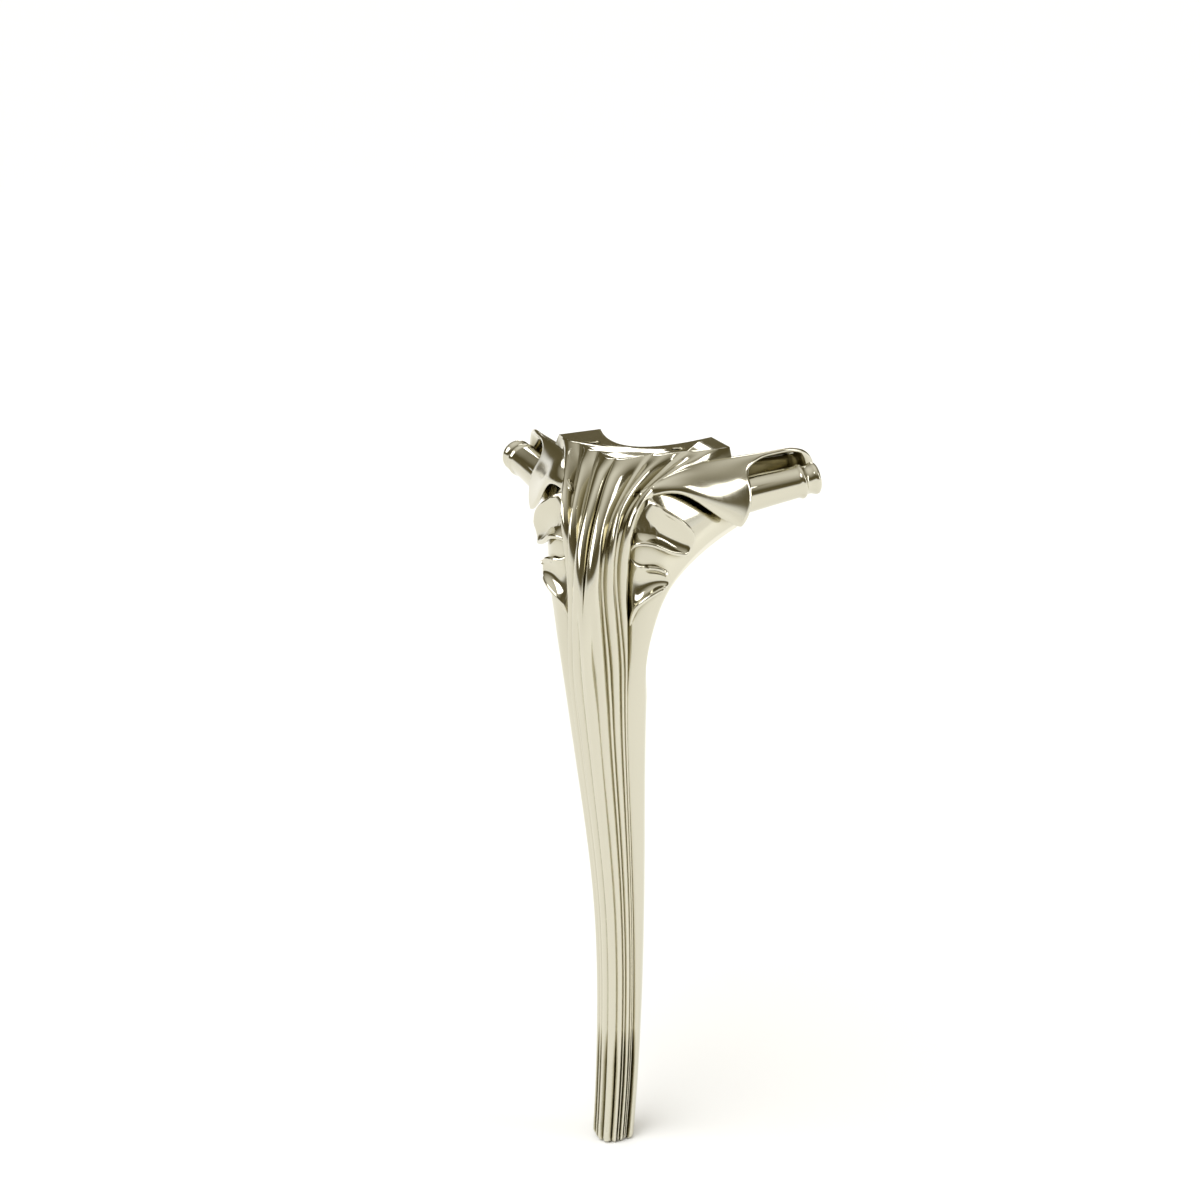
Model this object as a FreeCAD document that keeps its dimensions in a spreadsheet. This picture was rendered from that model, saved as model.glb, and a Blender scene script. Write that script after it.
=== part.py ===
"""Cabriole furniture leg, one polished casting: reeded stem, acanthus knee and two scrolled wings.

The leg stands under a square corner. Z is up, the floor is z = 0, the origin is the middle
of the foot, -Y is the way the knee faces and the leg is a mirror image about x = 0. Points of the
knee are given from that corner: across (x), back (y) and below the top.
"""
import FreeCAD, Part
import math
import os

Vector = FreeCAD.Vector
doc = FreeCAD.newDocument("cabriole_leg")

# Driving dimensions in millimetres.
DIMENSIONS = (
    ("leg_height", 280.0),
    ("corner_back", 28.8),
    # the stem at five levels: front and back from the corner, and half widths
    ("foot_front", -35.8), ("foot_back", -20.8), ("foot_reeds", 6.4), ("foot_width", 8.6), ("foot_heel", 4.5),
    ("foot_round", 2.0),
    ("instep_height", 40.0),
    ("instep_front", -28.0), ("instep_back", -12.0), ("instep_reeds", 6.9), ("instep_width", 9.1),
    ("instep_heel", 5.0),
    ("ankle_height", 95.0),
    ("ankle_front", -24.6), ("ankle_back", -5.8), ("ankle_reeds", 7.4), ("ankle_width", 10.6),
    ("ankle_heel", 6.0),
    ("shin_height", 150.0),
    ("shin_front", -31.3), ("shin_back", -5.6), ("shin_reeds", 9.6), ("shin_width", 14.0), ("shin_heel", 7.5),
    ("knee_drop", 92.0),
    ("knee_front", -37.0), ("knee_back", -5.9), ("knee_reeds", 11.7), ("knee_width", 17.0),
    ("knee_heel", 9.0),
    # the reeds down the front, and the swell of the faces between the lines
    ("reed_height", 1.25), ("knee_reed_height", 2.8), ("reed_setback", 10.7), ("front_swell", 4.6),
    ("flank_bow", 1.2),
    # the two wings along the corner's edges
    ("wing_reach", 44.0), ("wing_depth", 31.5), ("wing_lip", 8.0), ("arch_out", 13.5), ("pad_inset", 10.0),
    ("crook_back", 16.0), ("brow_back", -3.0),
    # the acanthus leaf
    ("leaf_wall", 2.0),
    # the scroll in the hood
    ("scroll_start", 36.0), ("scroll_reach", 78.8), ("scroll_root_radius", 7.9), ("scroll_end_radius", 6.3),
    ("scroll_root_out", 11.5), ("scroll_end_out", 14.4),
    ("scroll_root_drop", 20.6), ("scroll_end_drop", 15.4),
    ("collar_radius", 6.9), ("collar_width", 2.2), ("collar_setback", 6.5),
    ("scroll_bore", 3.0), ("scroll_bore_depth", 14.0),
    # the two tapped holes in the top
    ("hole_along", 25.0), ("hole_out", 0.5), ("tap_radius", 2.5), ("tap_depth", 10.0),
)
sheet = doc.addObject("Spreadsheet::Sheet", "sizes")
for row, (alias, value) in enumerate(DIMENSIONS, 1):
    sheet.set(f"A{row}", alias)
    sheet.set(f"B{row}", str(value))
    sheet.setAlias(f"B{row}", alias)
doc.recompute()


def size(alias):
    return float(sheet.get(alias))


def blend(start, end, share):
    return start + (end - start) * share


def knee_point(across, back, below):
    return Vector(across, back + size("corner_back"), size("leg_height") - below)


def wing_point(along, out, below):
    """A point of the right wing: along the corner's edge, out from its face, below the top."""
    half = math.sqrt(0.5)
    return knee_point((along + out) * half, (along - out) * half, below)


def curve_through(points, places):
    curve = Part.BSplineCurve()
    curve.interpolate(Points=points, Parameters=places)
    return curve


# both lines of a ruled face run the same way
FORWARD = 1


def strips(lines, places):
    """Faces between neighbouring lines, each line a smooth curve through its points."""
    edges = [curve_through(line, places).toShape() for line in lines]
    return [Part.makeRuledSurface(low, high, FORWARD) for low, high in zip(edges, edges[1:])]


def bands(low_points, high_points):
    """Faces between two rows of points, joined point to point."""
    lines = [Part.LineSegment(low, high).toShape() for low, high in zip(low_points, high_points)]
    return [Part.makeRuledSurface(left, right, FORWARD) for left, right in zip(lines, lines[1:])]


def polygon_face(points):
    return Part.Face(Part.makePolygon(points + points[:1]))


def solid_of(faces):
    sewn = Part.makeCompound(faces)
    sewn.sewShape()
    return Part.makeSolid(sewn.Shells[0])


def mirror_point(point):
    return Vector(-point.x, point.y, point.z)


def whole_outline(half_points):
    """A closed outline from its right half, which starts and ends in the middle."""
    return half_points + [mirror_point(point) for point in reversed(half_points[1:-1])]


# The body. Lines run up the stem and spread over the knee, with four stages between the stem and
# the end. Each stage is across, back and below the top, from the corner.
BROW = ((0.0, -39.8, 65.0), (0.0, -37.2, 42.0), (0.0, -29.0, 24.0), (0.0, -17.0, 9.5))
LEAF_ROOT = ((12.1, -24.5, 67.0), (12.6, -21.0, 34.0), (18.3, -14.2, 13.0), (26.0, 5.0, 6.5))
ARCH = ((18.9, -22.0, 74.0), (22.3, -18.4, 58.0), (26.6, -12.0, 46.5), (32.6, 1.5, 38.0))
RAMP = ((10.5, -3.0, 70.0), (12.0, 3.0, 48.0), (14.5, 10.0, 27.0), (18.5, 22.0, 9.0))
SPINE = ((0.0, -2.5, 70.0), (0.0, 2.5, 48.0), (0.0, 8.0, 26.0), (0.0, 12.5, 11.0))
STAGE_STEPS = (27.0, 52.0, 74.0, 93.0, 112.0)
LEVELS = ("foot", "instep", "ankle", "shin", "knee")
REED_EDGES = (0.0, 0.475, 0.59, 0.81, 1.0)
KNEE_EDGES = (0.0, 0.42, 0.46, 0.69, 1.0)
REED_STEPS = (4, 2, 3, 2)
FURROW_START = 80.0
FURROW_END = 34.0
RIB_START = 110.0
RIB_RUN = 80.0
STEM_STATIONS = 5
KNEE_STATIONS = 9
FLANK_DEPTH = 0.52
HEEL_DEPTH = 0.92
SOLE_SHARE = 0.8
WING_WAY = Vector(math.sqrt(0.5), math.sqrt(0.5), 0)
UP = Vector(0, 0, 1)

stem_top = size("leg_height") - size("knee_drop")
heights = [size("foot_round"), size("instep_height"), size("ankle_height"), size("shin_height"), stem_top]
rail_places = heights + [stem_top + step for step in STAGE_STEPS]
stations = [blend(heights[0], stem_top, i / STEM_STATIONS) for i in range(STEM_STATIONS)]
stations += [stem_top + STAGE_STEPS[-1] * i / KNEE_STATIONS for i in range(KNEE_STATIONS + 1)]
LAST = len(stations) - 1


def rail(stem_section, stages, end):
    """One line of the skin: a point of each stem section, the knee's stages and the end, at every station."""
    points = []
    for level, height in zip(LEVELS, heights):
        across, back = stem_section(level)
        points.append(Vector(across, back + size("corner_back"), height))
    points += [knee_point(*stage) for stage in stages] + [end]
    line = curve_through(points, rail_places)
    return [line.value(station) for station in stations]


def reed_edge(level):
    reeds = size(level + "_reeds")
    return reeds, size(level + "_front") + size("reed_setback") * reeds / size("knee_reeds")


def flank_edge(level):
    return size(level + "_width"), blend(size(level + "_front"), size(level + "_back"), FLANK_DEPTH)


def heel_edge(level):
    return size(level + "_heel"), blend(size(level + "_front"), size(level + "_back"), HEEL_DEPTH)


wing_reach = size("wing_reach")
brow = rail(lambda level: (0.0, size(level + "_front")), BROW, knee_point(0, size("brow_back"), 0))
leaf_root = rail(reed_edge, LEAF_ROOT, wing_point(wing_reach, size("wing_lip"), 0))
arch = rail(flank_edge, ARCH, wing_point(wing_reach, size("arch_out"), size("wing_depth")))
ramp = rail(heel_edge, RAMP, wing_point(wing_reach, -size("pad_inset"), 0))
spine = rail(lambda level: (0.0, size(level + "_back")), SPINE, knee_point(0, size("crook_back"), 0))


def knee_share(station):
    return max(0.0, (stations[station] - stem_top) / STAGE_STEPS[-1])


def outward(low, high, station, end_way):
    """The way out of the skin between two rails; at the foot and the end it keeps to the cut face."""
    before, after = max(station - 1, 0), min(station + 1, LAST)
    run = (low[after] + high[after]) - (low[before] + high[before])
    way = (high[station] - low[station]).cross(run)
    if station == 0:
        way.z = 0
    if station == LAST:
        way = way - end_way * way.dot(end_way)
    return way.normalize()


def bowed_line(low, high, bow):
    """The line midway between two rails, bowed out by bow(station, width)."""
    line = []
    for station, (start, end) in enumerate(zip(low, high)):
        rise = bow(station, (end - start).Length)
        line.append(blend(start, end, 0.5) + outward(low, high, station, WING_WAY) * rise)
    return line


def flank_bow(station, width):
    return size("flank_bow") * (1 + knee_share(station))


def under_bow(station, width):
    """Rounded behind the stem, hollow under the wing."""
    return width * max(-0.06, 0.12 - 0.6 * knee_share(station))


def ease(share):
    share = min(1.0, max(0.0, share))
    return share * share * (3 - 2 * share)


def reeded_row(station):
    """Half of the reeded front at one station, from the middle to the leaf's root."""
    spread = knee_share(station)
    below = size("leg_height") - stations[station]
    furrow = ease((FURROW_START - below) / (FURROW_START - FURROW_END))
    growth = blend(size("reed_height"), size("knee_reed_height"), ease((RIB_START - below) / RIB_RUN))
    growth *= 1 - 0.85 * ease((spread - 0.75) / 0.22)
    swell = size("front_swell") * (1 - spread ** 4)
    side_way = outward(brow, leaf_root, station, UP)
    middle_way = Vector(0, side_way.y, side_way.z).normalize()
    start, end = brow[station], leaf_root[station]
    edges = [blend(low, high, furrow) for low, high in zip(REED_EDGES, KNEE_EDGES)]
    row = []
    for number, (low, high) in enumerate(zip(edges, edges[1:])):
        rise = min(0.4 * (end - start).Length * (high - low), growth)
        for step in range(REED_STEPS[number]):
            part = step / REED_STEPS[number]
            share = blend(low, high, part) ** (1 + 0.5 * spread)
            reed = math.sin(math.pi * part)
            if number == 0:
                reed = blend(math.cos(0.5 * math.pi * part), reed, furrow)
            lift = swell * share * (1 - share) + rise * max(0.0, reed) ** 0.8
            way = blend(middle_way, side_way, min(1.0, share / 0.2)).normalize()
            row.append(blend(start, end, share) + way * lift)
    return row + [end]


def heel_line():
    """The line that rounds the back of the stem and the crook between the wings."""
    line = []
    for edge, middle in zip(ramp, spine):
        point = blend(edge, middle, 0.5)
        point.y = blend(edge.y, middle.y, 0.75)
        line.append(point)
    return line


reed_lines = [list(line) for line in zip(*[reeded_row(station) for station in range(LAST + 1)])]
flank_line = bowed_line(leaf_root, arch, flank_bow)
under_line = bowed_line(arch, ramp, under_bow)
heel = heel_line()
half_lines = reed_lines + [flank_line, arch, under_line, ramp, heel, spine]
foot_outline = [line[0] for line in half_lines]
foot_middle = blend(foot_outline[0], foot_outline[-1], 0.5)
sole_drop = UP * size("foot_round")
sole_outline = [foot_middle + (point - foot_middle) * SOLE_SHARE - sole_drop for point in foot_outline]
wing_end = [leaf_root[-1], flank_line[-1], arch[-1], under_line[-1], ramp[-1]]
top_outline = [line[-1] for line in reed_lines + [ramp, heel, spine]]
half_faces = strips(half_lines, stations) + bands(sole_outline, foot_outline) + [polygon_face(wing_end)]
other_faces = [face.mirror(Vector(0, 0, 0), Vector(1, 0, 0)) for face in half_faces]
end_faces = [polygon_face(whole_outline(sole_outline)), polygon_face(whole_outline(top_outline))]
body = doc.addObject("Part::Feature", "body")
body.Shape = solid_of(half_faces + other_faces + end_faces)


# The leaf: lobes and hood are sheets of one wall thickness that grow out of the right side of the knee.
ROOT_WALL = 0.25


def sheet_solid(outer):
    """A sheet under rows of points; each row runs from the root to the free edge."""
    rows, columns = len(outer), len(outer[0])
    inner = []
    for i in range(rows):
        line = []
        for j in range(columns):
            across = outer[min(i + 1, rows - 1)][j] - outer[max(i - 1, 0)][j]
            along = outer[i][min(j + 1, columns - 1)] - outer[i][max(j - 1, 0)]
            wall = size("leaf_wall") * (ROOT_WALL if j == 0 else 1)
            line.append(outer[i][j] - along.cross(across).normalize() * wall)
        inner.append(line)
    places = list(range(columns))
    faces = strips(outer, places) + strips(inner, places)
    faces += strips([outer[0], inner[0]], places) + strips([outer[-1], inner[-1]], places)
    for end in (0, -1):
        faces += bands([row[end] for row in outer], [row[end] for row in inner])
    return solid_of(faces)


# Each net gives points of a sheet on the right wing: along, out and below the top. Its rows run from the
# root to the free edge, the first row along the lower edge.
LOWER_LOBE = (
    ((-8.6, 24.4, 62.5), (-7.6, 28.4, 54.6), (-4.8, 30.6, 50.4), (-0.2, 31.8, 47.2), (5.2, 31.4, 45.4)),
    ((-8.4, 24.2, 56), (-7, 27, 50.1), (-4.2, 28.4, 47.6), (0.4, 29.4, 45.4), (6.2, 31, 44.6)),
    ((-8, 23.8, 49), (-6.4, 26.2, 45.6), (-3.6, 27.6, 44.2), (1, 28.8, 43.2), (6.5, 30.8, 43.6)),
    ((-7.4, 23.4, 42), (-5.8, 25.8, 41.4), (-3.2, 27.6, 41.2), (1.3, 29, 41), (6.2, 30.8, 42.4)),
    ((-6.8, 23, 34.5), (-5.4, 26.2, 37), (-2.8, 28.8, 38.2), (1.4, 30.6, 38.8), (5.2, 31, 41)),
)
UPPER_LOBE = (
    ((-7, 23.2, 32.5), (-4.6, 27.4, 27.8), (1.2, 30.2, 28), (7.6, 30.4, 31.2), (15.3, 29.6, 33.9)),
    ((-6.4, 22.8, 29), (-3, 26.2, 25.6), (3, 27.8, 26), (9.2, 28.2, 29), (16.8, 29.2, 32.9)),
    ((-4.6, 22.4, 24), (-0.8, 24.8, 22.2), (4.6, 26.4, 23.4), (10.6, 27.4, 26.4), (17.9, 29.2, 31)),
    ((-1.8, 22, 18), (1.8, 24, 17.6), (6.2, 25.8, 20), (11.8, 27.4, 23.8), (18.3, 29.4, 29)),
    ((1.6, 21.6, 12), (4.2, 24.8, 14.4), (8, 27.2, 17.9), (12.8, 29, 21.4), (17.4, 29.6, 26.4)),
)
HOOD = (
    ((1, 21.6, 12.4), (10.3, 23.4, 10), (20, 24, 12.6), (31, 23.3, 21), (42, 22.6, 28)),
    ((0.6, 21.6, 11.2), (10.6, 22.8, 8.4), (21, 23, 10.2), (33.8, 22.2, 16.8), (46.4, 21, 21.4)),
    ((0.6, 21.4, 10.2), (10.8, 21.8, 7.2), (22, 21, 7.8), (35.2, 20, 12.2), (47.8, 18.4, 14.4)),
    ((0.8, 21, 9.6), (11, 20.4, 6.2), (22.5, 18.4, 5.4), (35.8, 16.8, 7.8), (48.2, 15, 9.4)),
    ((1, 20.4, 9.2), (11.4, 18.4, 5.8), (23.5, 14.8, 4.2), (38, 13, 4.8), (53, 11.8, 5.6)),
    ((1.4, 19.6, 9.4), (13, 15.6, 6.4), (27, 11.6, 4), (45, 9.8, 3.8), (63.5, 9.2, 3.4)),
    ((2.4, 18.4, 10.4), (16, 12.6, 7.8), (33, 8.2, 5), (52, 6.8, 4.6), (74, 6.8, 5)),
    ((3.4, 17.4, 11.8), (18, 10.8, 10.2), (36, 5.8, 8), (56, 4.8, 8.2), (79.8, 5.6, 9.4)),
    ((4.2, 16.8, 13.6), (19, 10.2, 12.8), (37, 5.6, 13), (57, 4.8, 14), (81.4, 6.2, 14.8)),
)
LOBE_ROWS = 5
HOOD_ROWS = 11


def net_rows(net, rows):
    """Rows of points on the smooth sheet through a net."""
    last = len(net) - 1
    places = list(range(last + 1))
    columns = [curve_through([wing_point(*point) for point in column], places) for column in zip(*net)]
    return [[column.value(last * i / (rows - 1)) for column in columns] for i in range(rows)]


lower_lobe = doc.addObject("Part::Feature", "lower_lobe")
lower_lobe.Shape = sheet_solid(net_rows(LOWER_LOBE, LOBE_ROWS))
upper_lobe = doc.addObject("Part::Feature", "upper_lobe")
upper_lobe.Shape = sheet_solid(net_rows(UPPER_LOBE, LOBE_ROWS))
hood = doc.addObject("Part::Feature", "hood")
hood.Shape = sheet_solid(net_rows(HOOD, HOOD_ROWS))

# The scroll in the hood: a tapered roll along the wing, with a collar near its bored end.
scroll_root = wing_point(size("scroll_start"), size("scroll_root_out"), size("scroll_root_drop"))
scroll_end = wing_point(size("scroll_reach"), size("scroll_end_out"), size("scroll_end_drop"))
scroll_way = (scroll_end - scroll_root).normalize()
scroll_turn = FreeCAD.Rotation(UP, scroll_way)


def on_scroll(setback):
    return FreeCAD.Placement(scroll_end - scroll_way * setback, scroll_turn)


scroll_length = (scroll_end - scroll_root).Length
scroll = doc.addObject("Part::Cone", "scroll")
scroll.setExpression("Radius1", "sizes.scroll_root_radius")
scroll.setExpression("Radius2", "sizes.scroll_end_radius")
scroll.Height = scroll_length
scroll.Placement = on_scroll(scroll_length)
collar = doc.addObject("Part::Cylinder", "collar")
collar.setExpression("Radius", "sizes.collar_radius")
collar.setExpression("Height", "sizes.collar_width")
collar.Placement = on_scroll(size("collar_setback"))
scroll_bore = doc.addObject("Part::Cylinder", "scroll_bore")
scroll_bore.setExpression("Radius", "sizes.scroll_bore")
scroll_bore.setExpression("Height", "sizes.scroll_bore_depth")
scroll_bore.Placement = on_scroll(size("scroll_bore_depth"))

# The tapped hole in the wing's top face.
tapped_hole = doc.addObject("Part::Cylinder", "tapped_hole")
tapped_hole.setExpression("Radius", "sizes.tap_radius")
tapped_hole.setExpression("Height", "sizes.tap_depth")
tapped_hole.Placement.Base = wing_point(size("hole_along"), size("hole_out"), size("tap_depth"))


def mirror_of(source):
    mirror = doc.addObject("Part::Mirroring", source.Name + "_mirror")
    mirror.Source = source
    mirror.Normal = Vector(1, 0, 0)
    return mirror


right_carving = doc.addObject("Part::MultiFuse", "right_carving")
right_carving.Shapes = [lower_lobe, upper_lobe, hood, scroll, collar]
casting = doc.addObject("Part::MultiFuse", "casting")
casting.Shapes = [body, right_carving, mirror_of(right_carving)]
drills = doc.addObject("Part::MultiFuse", "drills")
drills.Shapes = [scroll_bore, mirror_of(scroll_bore), tapped_hole, mirror_of(tapped_hole)]
leg = doc.addObject("Part::Cut", "leg")
leg.Base = casting
leg.Tool = drills
leg.Label = "leg"
doc.recompute()

for item in doc.Objects:
    if "Invalid" in item.State or "Error" in item.State:
        raise RuntimeError(f"{item.Name} failed: {item.State}")
if leg.Shape.isNull() or not leg.Shape.isValid() or len(leg.Shape.Solids) != 1:
    raise RuntimeError("the leg isn't one valid solid")
os.makedirs("parts", exist_ok=True)
leg.Shape.exportStep(f"parts/{leg.Label}.step")
print("leg", round(leg.Shape.Volume), "cubic mm", leg.Shape.BoundBox)
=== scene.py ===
"""Cabriole furniture leg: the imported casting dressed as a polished, pale gold leg with a carved knee."""
import bmesh
import bpy
import math
import numpy as np
from mathutils import Matrix, Vector


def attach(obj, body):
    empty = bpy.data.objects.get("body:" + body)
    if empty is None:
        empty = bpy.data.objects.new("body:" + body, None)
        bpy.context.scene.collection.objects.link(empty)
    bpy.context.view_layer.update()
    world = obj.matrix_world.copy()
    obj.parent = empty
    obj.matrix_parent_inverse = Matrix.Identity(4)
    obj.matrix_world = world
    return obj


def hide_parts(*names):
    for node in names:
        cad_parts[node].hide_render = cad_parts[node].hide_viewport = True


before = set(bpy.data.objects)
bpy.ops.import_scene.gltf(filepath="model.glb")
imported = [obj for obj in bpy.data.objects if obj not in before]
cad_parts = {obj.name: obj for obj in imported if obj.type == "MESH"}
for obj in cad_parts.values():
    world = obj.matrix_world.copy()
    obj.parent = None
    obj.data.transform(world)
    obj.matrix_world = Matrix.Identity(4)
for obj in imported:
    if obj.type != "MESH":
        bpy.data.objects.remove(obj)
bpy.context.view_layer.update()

# The stem and the wings: the plain mass of the casting, sand cast in one with the carving and filed
# smooth. Lines run up from the foot and spread over the knee along both sides of the corner it carries.
MM = 0.001
LEG_HEIGHT = 280.0
CORNER_BACK = 28.8
STEM_HEIGHTS = (2.0, 40.0, 95.0, 150.0, 188.0)
STEM_FRONT = (-35.8, -28.0, -24.6, -31.3, -37.0)
STEM_BACK = (-20.8, -12.0, -5.8, -5.6, -5.9)
STEM_REEDS = (6.4, 6.9, 7.4, 9.6, 11.7)
STEM_WIDTH = (8.6, 9.1, 10.6, 14.0, 17.0)
STEM_HEEL = (4.5, 5.0, 6.0, 7.5, 9.0)
REED_SETBACK = 10.7
FRONT_SWELL = 4.6
FLANK_DEPTH = 0.52
HEEL_DEPTH = 0.92
FLANK_BOW = 1.2
UNDER_BOW = 0.12
UNDER_BOW_LOSS = 0.6
UNDER_HOLLOW = -0.06
WING_REACH = 44.0
WING_DEPTH = 31.5
WING_LIP = 8.0
ARCH_OUT = 13.5
PAD_INSET = 10.0
BROW_BACK = -3.0
CROOK_BACK = 16.0
# stages over the knee: across, back and below the top, from that corner
BROW = ((0.0, -39.8, 65.0), (0.0, -37.2, 42.0), (0.0, -29.0, 24.0), (0.0, -17.0, 9.5))
LEAF_ROOT = ((12.1, -24.5, 67.0), (12.6, -21.0, 34.0), (18.3, -14.2, 13.0), (26.0, 5.0, 6.5))
ARCH = ((18.9, -22.0, 74.0), (22.3, -18.4, 58.0), (26.6, -12.0, 46.5), (32.6, 1.5, 38.0))
RAMP = ((10.5, -3.0, 70.0), (12.0, 3.0, 48.0), (14.5, 10.0, 27.0), (18.5, 22.0, 9.0))
SPINE = ((0.0, -2.5, 70.0), (0.0, 2.5, 48.0), (0.0, 8.0, 26.0), (0.0, 12.5, 11.0))
STAGE_STEPS = (27.0, 52.0, 74.0, 93.0, 112.0)
STEM_ROWS = 70
KNEE_ROWS = 112
FLANK_COLUMNS = 12
UNDER_COLUMNS = 14
HEEL_COLUMNS = 10
FOOT_ROUND = 2.0
FOOT_ROUND_ROWS = 6
SOLE_SHARE = 0.8


def knee_point(across, back, below):
    return np.array((across, back + CORNER_BACK, LEG_HEIGHT - below))


def wing_point(along, out, height):
    """A point of the right wing: along the corner's side, out from it, and its height over the floor."""
    half = math.sqrt(0.5)
    along, out, height = np.asarray(along), np.asarray(out), np.asarray(height)
    return np.stack([(along + out) * half, (along - out) * half + CORNER_BACK, height + 0 * along], axis=-1)


def smooth_line(places, points, at):
    """A smooth curve through points at the given places, read at other places."""
    places, points, at = (np.asarray(item, float) for item in (places, points, at))
    last = len(places) - 1
    step = np.diff(places)
    slope = np.diff(points, axis=0) / step.reshape((-1,) + (1,) * (points.ndim - 1))
    system = np.eye(last + 1)
    rhs = np.zeros_like(points)
    for i in range(1, last):
        system[i, i - 1:i + 2] = step[i], 2 * (step[i - 1] + step[i]), step[i - 1]
        rhs[i] = 3 * (slope[i - 1] * step[i] + slope[i] * step[i - 1])
    ends = min(4, last + 1)
    for i, part in ((0, slice(0, ends)), (last, slice(last + 1 - ends, last + 1))):
        flat = points[part].reshape(ends, -1)
        power = np.polyfit(places[part] - places[i], flat, ends - 1)
        rhs[i] = power[-2].reshape(points.shape[1:])
    tangent = np.linalg.solve(system, rhs.reshape(last + 1, -1)).reshape(points.shape)
    cell = np.clip(np.searchsorted(places, at, side="right") - 1, 0, last - 1)
    width = step[cell]
    share = ((at - places[cell]) / width).reshape((-1,) + (1,) * (points.ndim - 1))
    width = width.reshape(share.shape)
    rest = 1 - share
    return (points[cell] * (1 + 2 * share) * rest ** 2 + points[cell + 1] * share ** 2 * (3 - 2 * share)
            + tangent[cell] * width * share * rest ** 2 - tangent[cell + 1] * width * share ** 2 * rest)


def unit(vectors):
    return vectors / np.maximum(np.linalg.norm(vectors, axis=-1, keepdims=True), 1e-9)


def ease(low, high, value):
    share = np.clip((value - low) / (high - low), 0, 1)
    return share * share * (3 - 2 * share)


stem_top = STEM_HEIGHTS[-1]
rail_places = np.array(STEM_HEIGHTS + tuple(stem_top + step for step in STAGE_STEPS))
stations = np.concatenate([np.linspace(STEM_HEIGHTS[0], stem_top, STEM_ROWS, endpoint=False),
                           np.linspace(stem_top, rail_places[-1], KNEE_ROWS)])
spread = np.clip((stations - stem_top) / STAGE_STEPS[-1], 0, 1)


def rail(stem_across, stem_back, stages, end):
    """One line of the skin, from the foot over the knee to its end."""
    points = [(x, y + CORNER_BACK, z) for x, y, z in zip(stem_across, stem_back, STEM_HEIGHTS)]
    points += [knee_point(*stage) for stage in stages] + [end]
    return smooth_line(rail_places, points, stations)


def between(share):
    return [front + (back - front) * share for front, back in zip(STEM_FRONT, STEM_BACK)]


reed_back = [front + REED_SETBACK * reeds / STEM_REEDS[-1] for front, reeds in zip(STEM_FRONT, STEM_REEDS)]
nought = (0.0,) * len(STEM_HEIGHTS)
brow = rail(nought, STEM_FRONT, BROW, knee_point(0, BROW_BACK, 0))
leaf_root = rail(STEM_REEDS, reed_back, LEAF_ROOT, wing_point(WING_REACH, WING_LIP, LEG_HEIGHT))
arch_end = wing_point(WING_REACH, ARCH_OUT, LEG_HEIGHT - WING_DEPTH)
arch = rail(STEM_WIDTH, between(FLANK_DEPTH), ARCH, arch_end)
ramp = rail(STEM_HEEL, between(HEEL_DEPTH), RAMP, wing_point(WING_REACH, -PAD_INSET, LEG_HEIGHT))
spine = rail(nought, STEM_BACK, SPINE, knee_point(0, CROOK_BACK, 0))


def outward(low, high, end_way):
    """The way out of the skin between two rails; at the foot and the end it keeps to the cut face."""
    way = np.cross(high - low, np.gradient(low + high, axis=0))
    way[0, 2] = 0
    way[-1] -= end_way * (way[-1] @ end_way)
    return unit(way)


def across_columns(low, high, columns, bow, end_way):
    """Lines between two rails, bowed out in the middle, without the first."""
    share = np.linspace(0, 1, columns + 1)[1:, None, None]
    rise = bow[:, None] * 4 * share * (1 - share)
    return low + (high - low) * share + outward(low, high, end_way) * rise


# The reeds: rounded ribs filed between narrow grooves down the front, a wide one in the middle that a
# furrow splits over the knee, with a thin bead in each double groove.
REED_EDGES = (0.0, 0.21, 0.475, 0.59, 0.81, 0.92, 1.0)
KNEE_EDGES = (0.0, 0.16, 0.42, 0.46, 0.69, 0.74, 1.0)
BEADS = (2, 4)
BEAD_SHARE = 0.6
REED_RISE = 1.25
KNEE_RISE = 3.1
FOOT_RISE = 0.7
FOOT_RISE_START = 70.0
FOOT_RISE_END = 25.0
KNEE_RISE_START = 170.0
KNEE_RISE_END = 250.0
TOP_TAPER = 0.6
TOP_TAPER_START = 0.86
STEEPEST_RIB = 0.5
FAN_CROWDING = 0.5
MIDDLE_SHARE = 0.2
REED_COLUMNS = (10, 12, 6, 10, 6, 8)
FURROW_START = 200.0
FURROW_END = 246.0
UP = np.array((0.0, 0.0, 1.0))
WING_WAY = np.array((math.sqrt(0.5), math.sqrt(0.5), 0.0))
front_way = outward(brow, leaf_root, UP)
middle_way = unit(front_way * np.array((0.0, 1.0, 1.0)))
front_width = np.linalg.norm(leaf_root - brow, axis=1)
front_swell = FRONT_SWELL * (1 - spread ** 4)
rib_growth = REED_RISE + (KNEE_RISE - REED_RISE) * ease(KNEE_RISE_START, KNEE_RISE_END, stations)
rib_growth *= 1 - TOP_TAPER * ease(TOP_TAPER_START, 1.0, spread)
rib_growth += FOOT_RISE * ease(FOOT_RISE_START, FOOT_RISE_END, stations)
furrow = ease(FURROW_START, FURROW_END, stations)
reed_lines = []
rib_edges = [low + (high - low) * furrow for low, high in zip(REED_EDGES, KNEE_EDGES)]
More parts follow.
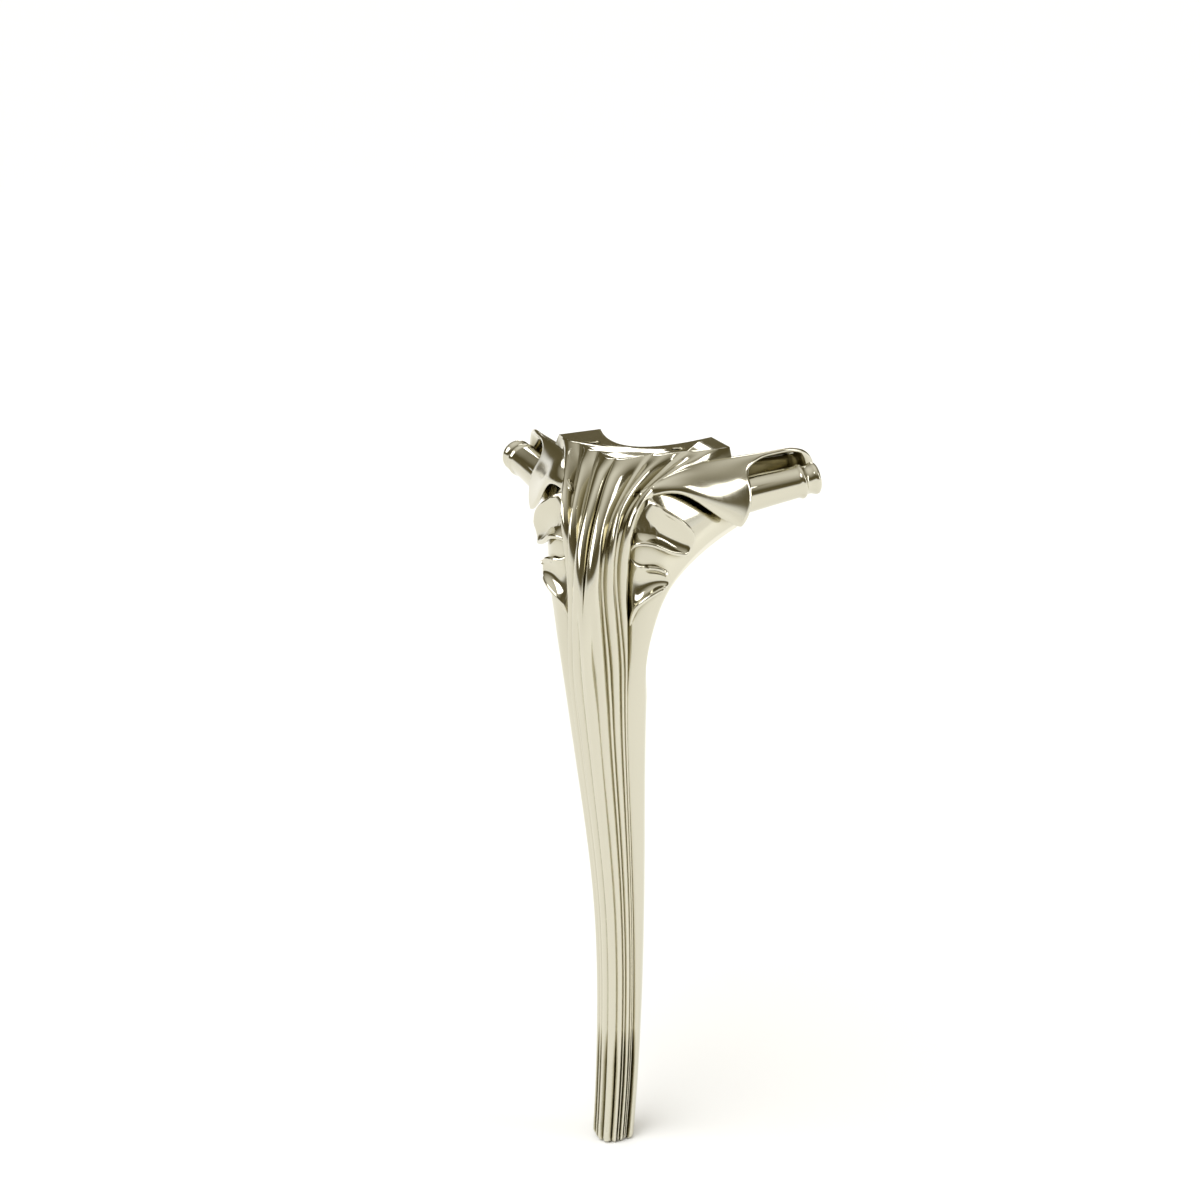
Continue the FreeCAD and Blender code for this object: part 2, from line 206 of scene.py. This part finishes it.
for number, (low, high) in enumerate(zip(rib_edges, rib_edges[1:])):
    for step in range(REED_COLUMNS[number]):
        part = step / REED_COLUMNS[number]
        place = low + (high - low) * part
        share = place ** (1 + FAN_CROWDING * spread)
        height = rib_growth * BEAD_SHARE * (1 - furrow) if number in BEADS else rib_growth
        rise = np.minimum(STEEPEST_RIB * front_width * (high - low), height)
        reed = math.cos(0.5 * math.pi * part) if number == 0 else math.sin(math.pi * part)
        lift = rise * reed
        if number < 2:
            joined = np.maximum(np.sin(np.pi * place / rib_edges[2]), 0)
            lift = lift * (1 - furrow) + rib_growth * joined * furrow
        lift += front_swell * share * (1 - share)
        turned_out = np.minimum(share / MIDDLE_SHARE, 1)[:, None]
        way = unit(middle_way + (front_way - middle_way) * turned_out)
        reed_lines.append(brow + (leaf_root - brow) * share[:, None] + way * lift[:, None])
front = np.array(reed_lines + [leaf_root])
front[..., 2] = np.minimum(front[..., 2], LEG_HEIGHT)
flank = across_columns(leaf_root, arch, FLANK_COLUMNS, FLANK_BOW * (1 + spread), WING_WAY)
arch_width = np.linalg.norm(ramp - arch, axis=1)
under_bow = arch_width * np.maximum(UNDER_BOW - UNDER_BOW_LOSS * spread, UNDER_HOLLOW)
under = across_columns(arch, ramp, UNDER_COLUMNS, under_bow, WING_WAY)
heel_share = np.linspace(0, 1, HEEL_COLUMNS + 1)[1:, None, None]
heel = ramp + (spine - ramp) * heel_share
heel[..., 1] += ((spine - ramp)[:, 1] * heel_share[..., 0] * (1 - heel_share[..., 0]))
half_skin = np.concatenate([front, flank, under, heel])


def mesh_of(name, points, faces):
    mesh = bpy.data.meshes.new(name)
    mesh.from_pydata((np.asarray(points) * MM).tolist(), [], faces)
    mesh.update()
    piece = bpy.data.objects.new(name, mesh)
    bpy.context.scene.collection.objects.link(piece)
    return piece


def grid_faces(rows, columns, start=0, wrap=False):
    """Faces of a grid of points numbered row by row; wrap joins the last column to the first."""
    faces = []
    for i in range(rows - 1):
        for j in range(columns if wrap else columns - 1):
            right = (j + 1) % columns
            a, b = start + i * columns, start + (i + 1) * columns
            faces.append((a + j, a + right, b + right, b + j))
    return faces


mirrored = half_skin[-2:0:-1] * np.array((-1.0, 1.0, 1.0))
ring_rows = np.concatenate([half_skin, mirrored]).transpose(1, 0, 2)
foot_ring = ring_rows[0]
foot_middle = 0.5 * (foot_ring[0] + foot_ring[len(half_skin) - 1])
foot_rows = []
for step in range(FOOT_ROUND_ROWS):
    turn = 0.5 * math.pi * step / FOOT_ROUND_ROWS
    row = foot_middle + (foot_ring - foot_middle) * (SOLE_SHARE + (1 - SOLE_SHARE) * math.sin(turn))
    row[:, 2] = FOOT_ROUND * (1 - math.cos(turn))
    foot_rows.append(row)
skin_rows = np.concatenate([np.array(foot_rows), ring_rows])
row_count, ring = skin_rows.shape[:2]
skin_faces = grid_faces(row_count, ring, wrap=True)
end_start = (row_count - 1) * ring
lip_column = len(front) - 1
ramp_column = lip_column + FLANK_COLUMNS + UNDER_COLUMNS
top_columns = list(range(lip_column + 1)) + list(range(ramp_column, ring - ramp_column + 1))
top_columns += list(range(ring - lip_column, ring))
wing_columns = list(range(lip_column, ramp_column + 1))
other_columns = [ring - column for column in reversed(wing_columns)]
skin_faces.append(list(range(ring))[::-1])
for columns in (top_columns, wing_columns, other_columns):
    skin_faces.append([end_start + column for column in columns])
leg = mesh_of("leg_casting", skin_rows.reshape(-1, 3), skin_faces)

# The acanthus leaf: two lobes a side that curl off the flank. Each is a net of points on the right wing
# (along, out, height), from its lower edge to its upper edge, each row from the root to the tip.
LEAF_WALL = 2.0
LOBE_ROWS = 34
LOBE_COLUMNS = 40
RIM_STEPS = 5
LOWER_LOBE = (
    ((-8.6, 24.4, 217.5), (-7.6, 28.4, 225.4), (-4.8, 30.6, 229.6), (-0.2, 31.8, 232.8), (5.2, 31.4, 234.6)),
    ((-8.4, 24.2, 224.0), (-7.0, 27.0, 229.9), (-4.2, 28.4, 232.4), (0.4, 29.4, 234.6), (6.2, 31.0, 235.4)),
    ((-8.0, 23.8, 231.0), (-6.4, 26.2, 234.4), (-3.6, 27.6, 235.8), (1.0, 28.8, 236.8), (6.5, 30.8, 236.4)),
    ((-7.4, 23.4, 238.0), (-5.8, 25.8, 238.6), (-3.2, 27.6, 238.8), (1.3, 29.0, 239.0), (6.2, 30.8, 237.6)),
    ((-6.8, 23.0, 245.5), (-5.4, 26.2, 243.0), (-2.8, 28.8, 241.8), (1.4, 30.6, 241.2), (5.2, 31.0, 239.0)),
)
UPPER_LOBE = (
    ((-7.0, 23.2, 247.5), (-4.6, 27.2, 252.2), (1.2, 29.6, 252.0), (7.6, 29.9, 248.8), (15.3, 29.6, 246.1)),
    ((-6.4, 22.8, 251.0), (-3.0, 25.6, 254.4), (3.0, 27.0, 253.8), (9.2, 27.4, 250.8), (16.8, 29.0, 247.1)),
    ((-4.6, 22.4, 256.0), (-0.8, 24.8, 257.6), (4.6, 26.2, 256.4), (10.6, 27.0, 253.4), (17.9, 28.9, 249.0)),
    ((-1.8, 22.2, 262.0), (1.6, 25.0, 262.4), (6.0, 27.0, 260.0), (11.6, 28.2, 256.2), (18.2, 29.4, 251.1)),
    ((1.6, 22.0, 268.0), (3.8, 26.2, 266.0), (7.4, 29.0, 262.6), (12.3, 30.2, 259.0), (17.2, 30.0, 253.8)),
)


def net_surface(net, rows, columns):
    """A smooth surface through a net of wing points, as a grid of points."""
    net = np.array([wing_point(*np.array(row).T) for row in net])
    row_count, column_count = net.shape[:2]
    column_places = np.linspace(0, column_count - 1, columns)
    along = smooth_line(np.arange(column_count), net.transpose(1, 0, 2), column_places)
    return smooth_line(np.arange(row_count), along.transpose(1, 0, 2), np.linspace(0, row_count - 1, rows))


def sheet(name, outer, wall):
    """A closed sheet under a grid of points, with rounded edges all round."""
    rows, columns = outer.shape[:2]
    normal = unit(np.cross(np.gradient(outer, axis=1), np.gradient(outer, axis=0)))
    inner = outer - normal * wall
    border = [(0, j) for j in range(columns)] + [(i, columns - 1) for i in range(1, rows)]
    border += [(rows - 1, j) for j in range(columns - 2, -1, -1)] + [(i, 0) for i in range(rows - 2, 0, -1)]
    edge = np.array(border)
    line = outer[edge[:, 0], edge[:, 1]]
    edge_normal = normal[edge[:, 0], edge[:, 1]]
    along = unit(np.roll(line, -1, axis=0) - np.roll(line, 1, axis=0))
    away = unit(np.cross(along, edge_normal))
    inside = line - outer.reshape(-1, 3).mean(axis=0)
    away *= np.sign(np.sum(away * inside, axis=1).mean())
    points = [outer.reshape(-1, 3), inner.reshape(-1, 3)]
    size = rows * columns
    faces = [face[::-1] for face in grid_faces(rows, columns)] + grid_faces(rows, columns, size)
    rings = [edge[:, 0] * columns + edge[:, 1]]
    for step in range(1, RIM_STEPS):
        turn = math.pi * step / RIM_STEPS
        drop = wall * 0.5 * (1 - math.cos(turn))
        bulge = wall * 0.5 * math.sin(turn)
        points.append(line - edge_normal * drop + away * bulge)
        rings.append(2 * size + (step - 1) * len(border) + np.arange(len(border)))
    rings.append(rings[0] + size)
    for near, far in zip(rings, rings[1:]):
        for j in range(len(border)):
            k = (j + 1) % len(border)
            faces.append((near[j], far[j], far[k], near[k]))
    faces = [tuple(int(point) for point in face) for face in faces]
    return mesh_of(name, np.concatenate(points), faces)


carving = [sheet("lower_lobe", net_surface(LOWER_LOBE, LOBE_ROWS, LOBE_COLUMNS), LEAF_WALL),
           sheet("upper_lobe", net_surface(UPPER_LOBE, LOBE_ROWS, LOBE_COLUMNS), LEAF_WALL)]

# The hood: the leaf's last lobe opens like a horn along the wing, its lower lip in front and its roof
# drawn out and rolled down behind the scroll. Rows go from the lower lip over the roof to the back.
HOOD_ROWS = 80
HOOD_COLUMNS = 56
HOOD = (
    ((1.0, 21.6, 267.6), (10.3, 23.4, 270.0), (20.0, 24.0, 267.4), (31.0, 23.3, 259.0), (42.0, 22.6, 252.0)),
    ((0.6, 21.6, 268.8), (10.6, 22.8, 271.6), (21.0, 23.0, 269.8), (33.8, 22.2, 263.2), (46.4, 21.0, 258.6)),
    ((0.6, 21.4, 269.8), (10.8, 21.8, 272.8), (22.0, 21.0, 272.2), (35.2, 20.0, 267.8), (47.8, 18.4, 265.6)),
    ((0.8, 21.0, 270.4), (11.0, 20.4, 273.8), (22.5, 18.4, 274.6), (35.8, 16.8, 272.2), (48.2, 15.0, 270.6)),
    ((1.0, 20.4, 270.8), (11.4, 18.4, 274.2), (23.5, 14.8, 275.8), (38.0, 13.0, 275.2), (53.0, 11.8, 274.4)),
    ((1.4, 19.6, 270.6), (13.0, 15.6, 273.6), (27.0, 11.6, 276.0), (45.0, 9.8, 276.2), (63.5, 9.2, 276.6)),
    ((2.4, 18.4, 269.6), (16.0, 12.6, 272.2), (33.0, 8.2, 275.0), (52.0, 6.8, 275.4), (74.0, 6.8, 275.0)),
    ((3.4, 17.4, 268.2), (18.0, 10.8, 269.8), (36.0, 5.8, 272.0), (55.6, 4.8, 271.8), (79.0, 5.6, 270.6)),
    ((4.2, 16.8, 266.4), (19.0, 10.2, 267.2), (37.0, 5.6, 267.0), (56.6, 4.8, 266.0), (80.2, 6.2, 265.2)),
)
carving.append(sheet("hood", net_surface(HOOD, HOOD_ROWS, HOOD_COLUMNS), LEAF_WALL))

# The scroll in the hood: a tapered roll with a bead, a neck and a rounded, bored end, cast with the leg
# and turned smooth.
SCROLL_ROOT = (36.0, 11.5, 259.4)
SCROLL_END = (78.8, 14.4, 264.6)
SCROLL_TURNS = 72
# how far back from the end, and the radius there
SCROLL_PROFILE = ((44.0, 7.9), (30.0, 7.3), (18.0, 6.7), (9.6, 6.35), (8.8, 6.4), (8.3, 6.8),
                  (7.6, 7.05), (6.9, 6.85), (6.4, 6.3), (5.8, 5.85), (4.6, 5.7), (3.4, 5.85),
                  (2.6, 6.3), (1.8, 6.6), (0.9, 6.4), (0.3, 5.7), (0.0, 4.9), (0.2, 4.2),
                  (0.9, 3.6), (2.0, 3.2), (4.0, 3.0), (14.0, 3.0))


def turned(name, root, end, profile, turns):
    """A turned piece along a wing line: a profile of setbacks and radii, closed at both ends."""
    root, end = wing_point(*root), wing_point(*end)
    axis = unit(end - root)
    side = unit(np.cross(axis, UP))
    rise = np.cross(side, axis)
    angle = np.linspace(0, 2 * math.pi, turns, endpoint=False)[:, None]
    circle = side * np.cos(angle) + rise * np.sin(angle)
    rows = np.array([end - axis * setback + circle * radius for setback, radius in profile])
    faces = grid_faces(len(profile), turns, wrap=True)
    faces.append(list(range(turns))[::-1])
    faces.append([(len(profile) - 1) * turns + j for j in range(turns)])
    return mesh_of(name, rows.reshape(-1, 3), faces)


carving.append(turned("scroll", SCROLL_ROOT, SCROLL_END, SCROLL_PROFILE, SCROLL_TURNS))

# The tapped holes: two blind M6 holes, drilled and tapped in the flat top of the casting,
# so that screws can hold the leg from above.
HOLE_ALONG = 25.0
HOLE_OUT = 0.5
TAP_RADIUS = 2.5
TAP_DEPTH = 10.0
THREAD_PITCH = 1.0
THREAD_DEPTH = 0.45
THREAD_RUNOUT = 1.5
TAP_OVERRUN = 1.0
THREAD_TURNS = 48
THREAD_ROWS = 110
WELD = 0.001
hole = wing_point(HOLE_ALONG, HOLE_OUT, LEG_HEIGHT)
thread_angle = np.linspace(0, 2 * math.pi, THREAD_TURNS, endpoint=False)
thread_rows = []
for drop in np.linspace(-TAP_OVERRUN, TAP_DEPTH, THREAD_ROWS):
    turn = (drop / THREAD_PITCH + thread_angle / (2 * math.pi)) % 1
    cut = THREAD_DEPTH * (1 - np.abs(2 * turn - 1)) * ease(TAP_DEPTH, TAP_DEPTH - THREAD_RUNOUT, drop)
    radius = TAP_RADIUS + cut
    circle = [hole[0] + radius * np.cos(thread_angle), hole[1] + radius * np.sin(thread_angle)]
    thread_rows.append(np.stack(circle + [np.full(THREAD_TURNS, hole[2] - drop)], axis=-1))
thread_faces = grid_faces(THREAD_ROWS, THREAD_TURNS, wrap=True)
thread_faces.append(list(range(THREAD_TURNS))[::-1])
thread_faces.append([(THREAD_ROWS - 1) * THREAD_TURNS + j for j in range(THREAD_TURNS)])
tap = mesh_of("tap", np.array(thread_rows).reshape(-1, 3), thread_faces)


def face_out(piece):
    """Turns every face of a closed mesh outwards."""
    bpy.ops.object.select_all(action="DESELECT")
    bpy.context.view_layer.objects.active = piece
    piece.select_set(True)
    bpy.ops.object.mode_set(mode="EDIT")
    bpy.ops.mesh.select_all(action="SELECT")
    bpy.ops.mesh.normals_make_consistent(inside=False)
    bpy.ops.object.mode_set(mode="OBJECT")


def mirror_image(piece):
    mesh = piece.data.copy()
    mesh.transform(Matrix.Diagonal((-1, 1, 1, 1)))
    mesh.flip_normals()
    other = bpy.data.objects.new(piece.name + "_left", mesh)
    bpy.context.scene.collection.objects.link(other)
    return other


def merge(target, tools, operation):
    """Joins closed meshes to the leg, or cuts them out of it, and takes the tools away."""
    bpy.context.view_layer.objects.active = target
    for tool in tools:
        modifier = target.modifiers.new(tool.name, "BOOLEAN")
        modifier.operation = operation
        modifier.solver = "MANIFOLD"
        modifier.object = tool
        bpy.ops.object.modifier_apply(modifier=modifier.name)
        bpy.data.objects.remove(tool)


def drop_folds(piece, weld):
    """Welds points that meet and drops pairs of triangles that a cut left lying back to back."""
    work = bmesh.new()
    work.from_mesh(piece.data)
    bmesh.ops.remove_doubles(work, verts=work.verts, dist=weld)
    work.to_mesh(piece.data)
    work.free()
    piece.data.calc_loop_triangles()
    triangles = np.array([tuple(face.vertices) for face in piece.data.loop_triangles])
    _, group, uses = np.unique(np.sort(triangles, axis=1), axis=0, return_inverse=True, return_counts=True)
    kept = triangles[uses[group.ravel()] == 1]
    points = [tuple(point.co) for point in piece.data.vertices]
    piece.data.clear_geometry()
    piece.data.from_pydata(points, [], kept.tolist())
    piece.data.update()


for piece in [leg, tap] + carving:
    face_out(piece)
carving += [mirror_image(piece) for piece in carving]
merge(leg, carving, "UNION")
merge(leg, [tap, mirror_image(tap)], "DIFFERENCE")
drop_folds(leg, WELD * MM)
SHARP_ANGLE = 38.0
leg.data.polygons.foreach_set("use_smooth", [True] * len(leg.data.polygons))
leg.data.set_sharp_from_angle(angle=math.radians(SHARP_ANGLE))
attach(leg, "root")
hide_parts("leg")

# The finish: a pale champagne plating polished to a mirror, with the brush lines and waves of hand
# polishing.
# Its colour holds patina and painted shade in the recesses, a painted dark reflection in the flutes near
# the foot and a painted highlight on the rims.
PLATING = (0.66, 0.635, 0.525)
# the next two colours darken the recesses: patina in the hollows together with painted shade; the darker one
# is reached mostly in the flutes near the foot, where it is a painted dark reflection
PATINA_AND_SHADE = (0.33, 0.295, 0.175)
DARKEST_SHADE_AND_PATINA = (0.07, 0.058, 0.022)
# painted highlight: the lighter colour laid on the convex rims where light catches the edges
RIM_HIGHLIGHT = (0.80, 0.775, 0.675)
RIM_REACH = 1.0
BRUSH_GRAIN = (1400.0, 1400.0, 60.0)
BRUSH_ROUGHNESS = 0.05
FINISH_WAVE = 0.25
# painted dark reflection: below this height the recess darkening grows several times over, so the flutes
# near the foot turn dark
FOOT_DARK_REFLECTION = 3.2
FOOT_DARK_REFLECTION_TOP = 46.0
FOOT_DARK_REFLECTION_FADE = 14.0
RECESS_REACH = 6.0
plating = bpy.data.materials.new("polished_champagne_plating")
plating.use_nodes = True
nodes, links = plating.node_tree.nodes, plating.node_tree.links
shader = nodes["Principled BSDF"]
shader.inputs["Metallic"].default_value = 1.0
places = nodes.new("ShaderNodeTexCoord")
cloud = nodes.new("ShaderNodeTexNoise")
cloud.inputs["Scale"].default_value = 38.0
cloud.inputs["Detail"].default_value = 4.0
links.new(places.outputs["Object"], cloud.inputs["Vector"])
polish = nodes.new("ShaderNodeMapRange")
polish.inputs["To Min"].default_value = 0.05
polish.inputs["To Max"].default_value = 0.12
links.new(cloud.outputs["Fac"], polish.inputs["Value"])
stretch = nodes.new("ShaderNodeMapping")
stretch.inputs["Scale"].default_value = BRUSH_GRAIN
links.new(places.outputs["Object"], stretch.inputs["Vector"])
brush = nodes.new("ShaderNodeTexNoise")
brush.inputs["Scale"].default_value = 1.0
links.new(stretch.outputs["Vector"], brush.inputs["Vector"])
brushed = nodes.new("ShaderNodeMath")
brushed.operation = "MULTIPLY_ADD"
brushed.inputs[1].default_value = BRUSH_ROUGHNESS
links.new(brush.outputs["Fac"], brushed.inputs[0])
links.new(polish.outputs["Result"], brushed.inputs[2])
links.new(brushed.outputs["Value"], shader.inputs["Roughness"])
waviness = nodes.new("ShaderNodeTexNoise")
waviness.inputs["Scale"].default_value = 50.0
waviness.inputs["Detail"].default_value = 0.0
links.new(places.outputs["Object"], waviness.inputs["Vector"])
hand_finish = nodes.new("ShaderNodeBump")
hand_finish.inputs["Strength"].default_value = 1.0
hand_finish.inputs["Distance"].default_value = FINISH_WAVE * MM
links.new(waviness.outputs["Fac"], hand_finish.inputs["Height"])
links.new(hand_finish.outputs["Normal"], shader.inputs["Normal"])
# the recesses are darkened by ambient occlusion: partly patina, partly painted shade in the grooves and
# under the lobes
recess = nodes.new("ShaderNodeAmbientOcclusion")
recess.inputs["Distance"].default_value = RECESS_REACH * MM
recess.samples = 16
recess.only_local = True
hidden = nodes.new("ShaderNodeMath")
hidden.operation = "SUBTRACT"
hidden.inputs[0].default_value = 1.0
links.new(recess.outputs["AO"], hidden.inputs[1])
height = nodes.new("ShaderNodeSeparateXYZ")
links.new(places.outputs["Object"], height.inputs["Vector"])
# painted dark reflection: the recess darkening is made several times stronger near the foot
foot_dark_reflection = nodes.new("ShaderNodeMapRange")
foot_dark_reflection.inputs["From Min"].default_value = FOOT_DARK_REFLECTION_TOP * MM
foot_dark_reflection.inputs["From Max"].default_value = (FOOT_DARK_REFLECTION_TOP - FOOT_DARK_REFLECTION_FADE) * MM
foot_dark_reflection.inputs["To Min"].default_value = 1.0
foot_dark_reflection.inputs["To Max"].default_value = 1.0 + FOOT_DARK_REFLECTION
links.new(height.outputs["Z"], foot_dark_reflection.inputs["Value"])
shade_and_patina = nodes.new("ShaderNodeMath")
shade_and_patina.operation = "MULTIPLY"
links.new(hidden.outputs["Value"], shade_and_patina.inputs[0])
links.new(foot_dark_reflection.outputs["Result"], shade_and_patina.inputs[1])
# plating, then the recess colour, then the darkest: patina with painted shade, darkest as a painted dark
# reflection near the foot
colour = nodes.new("ShaderNodeValToRGB")
shades = colour.color_ramp.elements
shades[0].position, shades[0].color = 0.2, (*PLATING, 1)
shades[1].position, shades[1].color = 1.0, (*DARKEST_SHADE_AND_PATINA, 1)
shades.new(0.6).color = (*PATINA_AND_SHADE, 1)
links.new(shade_and_patina.outputs["Value"], colour.inputs["Fac"])
# painted highlight: convex rims, found by ambient occlusion inside the casting, are painted lighter
rim = nodes.new("ShaderNodeAmbientOcclusion")
rim.inside = True
rim.only_local = True
rim.samples = 8
rim.inputs["Distance"].default_value = RIM_REACH * MM
rim_highlight_mask = nodes.new("ShaderNodeMapRange")
rim_highlight_mask.inputs["From Min"].default_value = 0.9
rim_highlight_mask.inputs["From Max"].default_value = 0.5
links.new(rim.outputs["AO"], rim_highlight_mask.inputs["Value"])
rim_highlighted = nodes.new("ShaderNodeMix")
rim_highlighted.data_type = "RGBA"
rim_highlighted.inputs["B"].default_value = (*RIM_HIGHLIGHT, 1)
links.new(rim_highlight_mask.outputs["Result"], rim_highlighted.inputs["Factor"])
links.new(colour.outputs["Color"], rim_highlighted.inputs["A"])
links.new(rim_highlighted.outputs["Result"], shader.inputs["Base Color"])
leg.data.materials.clear()
leg.data.materials.append(plating)

# The studio: a wide pale floor under a dome that is white at the horizon, dark and warm above it and paler
# overhead. The soft lights show in the polish; the key light and the suns are kept apart, as noted below.
FLOOR_REACH = 40.0
FLOOR_DROP = 0.0002
bpy.ops.mesh.primitive_plane_add(size=2 * FLOOR_REACH, location=(0, 0, -FLOOR_DROP))
floor = bpy.context.object
floor.name = "studio_floor"
paper = bpy.data.materials.new("pale_paper")
paper.use_nodes = True
paper_shader = paper.node_tree.nodes["Principled BSDF"]
paper_shader.inputs["Base Color"].default_value = (0.92, 0.925, 0.935, 1)
paper_shader.inputs["Roughness"].default_value = 0.9
paper_shader.inputs["Specular IOR Level"].default_value = 0.0
floor.data.materials.append(paper)

world = bpy.data.worlds.new("studio_dome")
bpy.context.scene.world = world
world.use_nodes = True
sky, sky_links = world.node_tree.nodes, world.node_tree.links
way = sky.new("ShaderNodeTexCoord")
split = sky.new("ShaderNodeSeparateXYZ")
sky_links.new(way.outputs["Generated"], split.inputs["Vector"])
ramp_node = sky.new("ShaderNodeValToRGB")
stops = ramp_node.color_ramp.elements
stops[0].position, stops[0].color = 0.0, (1.0, 1.0, 1.0, 1)
stops[1].position, stops[1].color = 1.0, (0.9, 0.88, 0.82, 1)
for position, shade in ((0.03, (0.98, 0.98, 0.97, 1)), (0.11, (0.14, 0.118, 0.062, 1)),
                        (0.42, (0.11, 0.092, 0.044, 1)), (0.7, (0.46, 0.435, 0.36, 1))):
    stop = stops.new(position)
    stop.color = shade
sky_links.new(split.outputs["Z"], ramp_node.inputs["Fac"])
sky_links.new(ramp_node.outputs["Color"], sky["Background"].inputs["Color"])

AIM = Vector((0.0, 0.04, 0.18))


def soft_light(name, place, width, height, watts):
    lamp = bpy.data.lights.new(name, "AREA")
    lamp.shape = "RECTANGLE"
    lamp.size, lamp.size_y, lamp.energy = width, height, watts
    item = bpy.data.objects.new(name, lamp)
    item.location = place
    item.rotation_euler = (AIM - Vector(place)).to_track_quat("-Z", "Y").to_euler()
    bpy.context.scene.collection.objects.link(item)
    return item


key = soft_light("key_light", (-1.2, -1.7, 1.7), 2.2, 1.5, 34)
# it shows in the polish only, so that the floor stays even
key.visible_diffuse = False
soft_light("right_strip", (1.9, 0.4, 1.0), 0.3, 1.2, 4.5)
soft_light("back_light", (-0.6, 1.6, 1.2), 0.6, 0.4, 3)


def floor_sun(name, strength, spread_degrees, tilt_degrees, lean_degrees):
    """A wide sun that lights the matt floor and casts the shadow, but makes no glint in the polish."""
    sun = bpy.data.lights.new(name, "SUN")
    sun.energy = strength
    sun.angle = math.radians(spread_degrees)
    item = bpy.data.objects.new(name, sun)
    item.rotation_euler = (math.radians(tilt_degrees), math.radians(lean_degrees), 0)
    item.visible_glossy = False
    bpy.context.scene.collection.objects.link(item)


floor_sun("even_light", 1.85, 60, 28, -22)
floor_sun("fill_light", 0.74, 80, 20, 30)

# The camera: where the photograph was taken from, about 24 degrees round to the right of the leg's front
# and looking down 17 degrees, with the small roll that the picture has.
CAMERA_PLACE = (470.4, -1060.6, 590.2)
CAMERA_PLAN_WAY = (-0.402, 0.9156)
CAMERA_PITCH = math.radians(17.28)
CAMERA_ROLL = math.radians(2.0)
FOCAL_PIXELS = 3131.2
PICTURE_PIXELS = 1200.0
ROLL_CENTRE = (618.5, 455.0)
SENSOR = 36.0
lens = bpy.data.cameras.new("camera")
lens.sensor_width = SENSOR
lens.lens = FOCAL_PIXELS / PICTURE_PIXELS * SENSOR
plan = Vector((*CAMERA_PLAN_WAY, 0)).normalized()
forward = plan * math.cos(CAMERA_PITCH) - Vector((0, 0, math.sin(CAMERA_PITCH)))
right = Vector((plan.y, -plan.x, 0))
up = right.cross(forward)
rolled_right = right * math.cos(CAMERA_ROLL) - up * math.sin(CAMERA_ROLL)
rolled_up = up * math.cos(CAMERA_ROLL) + right * math.sin(CAMERA_ROLL)
camera = bpy.data.objects.new("camera", lens)
camera.matrix_world = Matrix.Translation(Vector(CAMERA_PLACE) * MM) @ Matrix(
    (rolled_right, rolled_up, -forward)).transposed().to_4x4()
middle = PICTURE_PIXELS / 2
drift_x, drift_y = middle - ROLL_CENTRE[0], middle - ROLL_CENTRE[1]
centre_x = ROLL_CENTRE[0] + drift_x * math.cos(CAMERA_ROLL) + drift_y * math.sin(CAMERA_ROLL)
centre_y = ROLL_CENTRE[1] + drift_y * math.cos(CAMERA_ROLL) - drift_x * math.sin(CAMERA_ROLL)
lens.shift_x = (middle - centre_x) / PICTURE_PIXELS
lens.shift_y = (centre_y - middle) / PICTURE_PIXELS
bpy.context.scene.collection.objects.link(camera)
bpy.context.scene.camera = camera
bpy.context.scene.view_settings.view_transform = "Standard"
